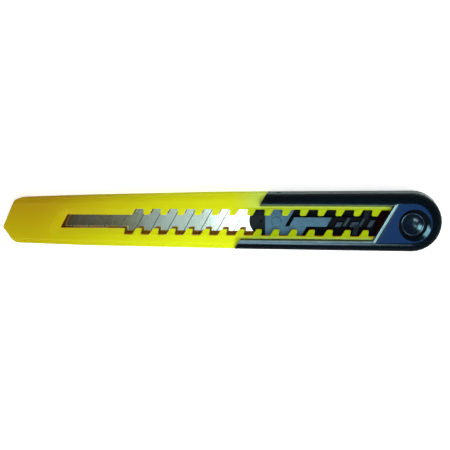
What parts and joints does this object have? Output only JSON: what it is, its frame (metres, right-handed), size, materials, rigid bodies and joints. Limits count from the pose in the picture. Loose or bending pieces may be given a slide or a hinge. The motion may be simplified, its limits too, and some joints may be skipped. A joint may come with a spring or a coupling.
{
  "type": "snap-off utility knife",
  "caption": "Slim utility knife with a sliding snap-off blade, toothed window in a yellow case, dark grips and a thumb slider on the back.",
  "frame": {"origin": "middle of the footprint, on the back face that the knife lies on", "axes": "+X from the blade end to the round end, +Y across the width away from the cutting edge, +Z out of the toothed window; the blade comes out along -X"},
  "size_m": [0.131, 0.0174, 0.01],
  "materials": {
    "yellow_case": "glossy, slightly translucent yellow plastic",
    "black_grip": "polished blue-black plastic",
    "black_rivet": "polished black",
    "blade_steel": "finely ground steel with score lines",
    "slider_black": "satin black plastic",
    "slider_slate": "satin blue-grey plastic"
  },
  "bodies": {
    "handle": {"front_case": "yellow_case", "rear_case": "yellow_case", "front_grip": "black_grip", "rear_grip": "black_grip", "end_rivet": "black_rivet", "rivet_collar": "black_rivet"},
    "slider": {"blade": "blade_steel", "blade_carrier": "slider_black", "blade_clip": "slider_slate", "lock_arm": "slider_slate", "thumb_slider": "slider_black"}
  },
  "joints": [
    {"name": "blade_slide", "type": "slide", "parent": "handle", "child": "slider", "axis": [-1, 0, 0], "range_m": [0, 0.06702], "deforming": ["lock_arm"]}
  ]
}
